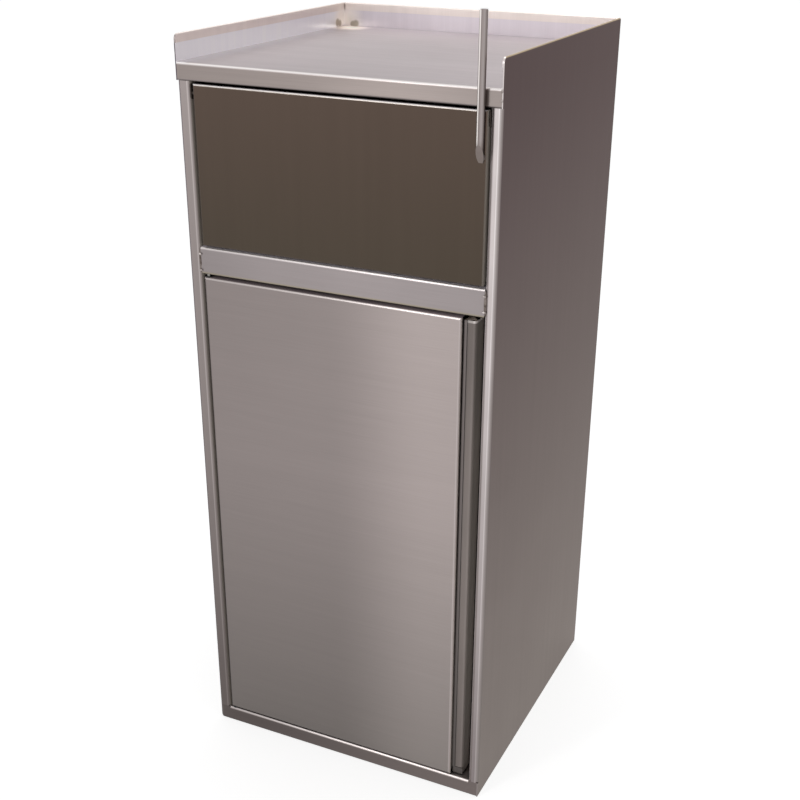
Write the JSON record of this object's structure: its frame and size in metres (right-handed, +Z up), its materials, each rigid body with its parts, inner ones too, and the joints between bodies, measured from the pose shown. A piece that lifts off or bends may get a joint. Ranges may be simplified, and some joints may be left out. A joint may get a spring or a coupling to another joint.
{
  "type": "trash can cabinet",
  "caption": "Free-standing stainless steel waste cabinet with an inward push flap and its lever, a hinged door, a tray top with hemmed edges and a loose container inside",
  "frame": {"origin": "on the floor, at the middle of the cabinet's footprint (lever left out)", "axes": "X from the left side to the right side seen from the front, Y from the front to the back, Z up"},
  "size_m": [0.508, 0.5309, 1.2575],
  "materials": {
    "brushed_steel": "satin, grained",
    "fixing_steel": "plain bright",
    "nylon": "moulded",
    "magnet": "sintered",
    "container_plastic": "moulded, fine grain"
  },
  "bodies": {
    "cabinet": {"side_panel_left": "brushed_steel", "side_panel_right": "brushed_steel", "back_panel": "brushed_steel", "top_sheet": "brushed_steel", "top_stiffener": "brushed_steel", "mid_rail": "brushed_steel", "bottom_pan": "brushed_steel", "flap_bracket_left": "brushed_steel", "flap_bracket_right": "brushed_steel", "bracket_rivets": "fixing_steel", "hinge_pin_top": "fixing_steel", "hinge_pin_bottom": "fixing_steel", "pivot_washer": "nylon", "catch_body": "nylon", "catch_magnet": "magnet", "catch_poles": "fixing_steel", "catch_screws": "fixing_steel", "waste_container": "container_plastic", "bin_guide_left": "brushed_steel", "bin_guide_right": "brushed_steel", "bin_guide_rear": "brushed_steel"},
    "flap": {"flap_skin": "brushed_steel", "flap_back": "brushed_steel", "flap_pin_left": "fixing_steel", "flap_pin_right": "fixing_steel", "flap_lever": "brushed_steel"},
    "door": {"door_skin": "brushed_steel", "door_liner": "brushed_steel", "door_stiffener": "brushed_steel", "door_bush_top": "nylon", "door_bush_bottom": "nylon", "strike_plate": "fixing_steel", "strike_rivets": "fixing_steel"}
  },
  "joints": [
    {"name": "flap_swing", "type": "hinge", "parent": "cabinet", "child": "flap", "pos_m": [0, -0.255, 1.118], "axis": [1, 0, 0], "range_deg": [0, 70]},
    {"name": "door_swing", "type": "hinge", "parent": "cabinet", "child": "door", "pos_m": [-0.2235, -0.253, 0.44], "axis": [0, 0, -1], "range_deg": [0, 110]}
  ]
}
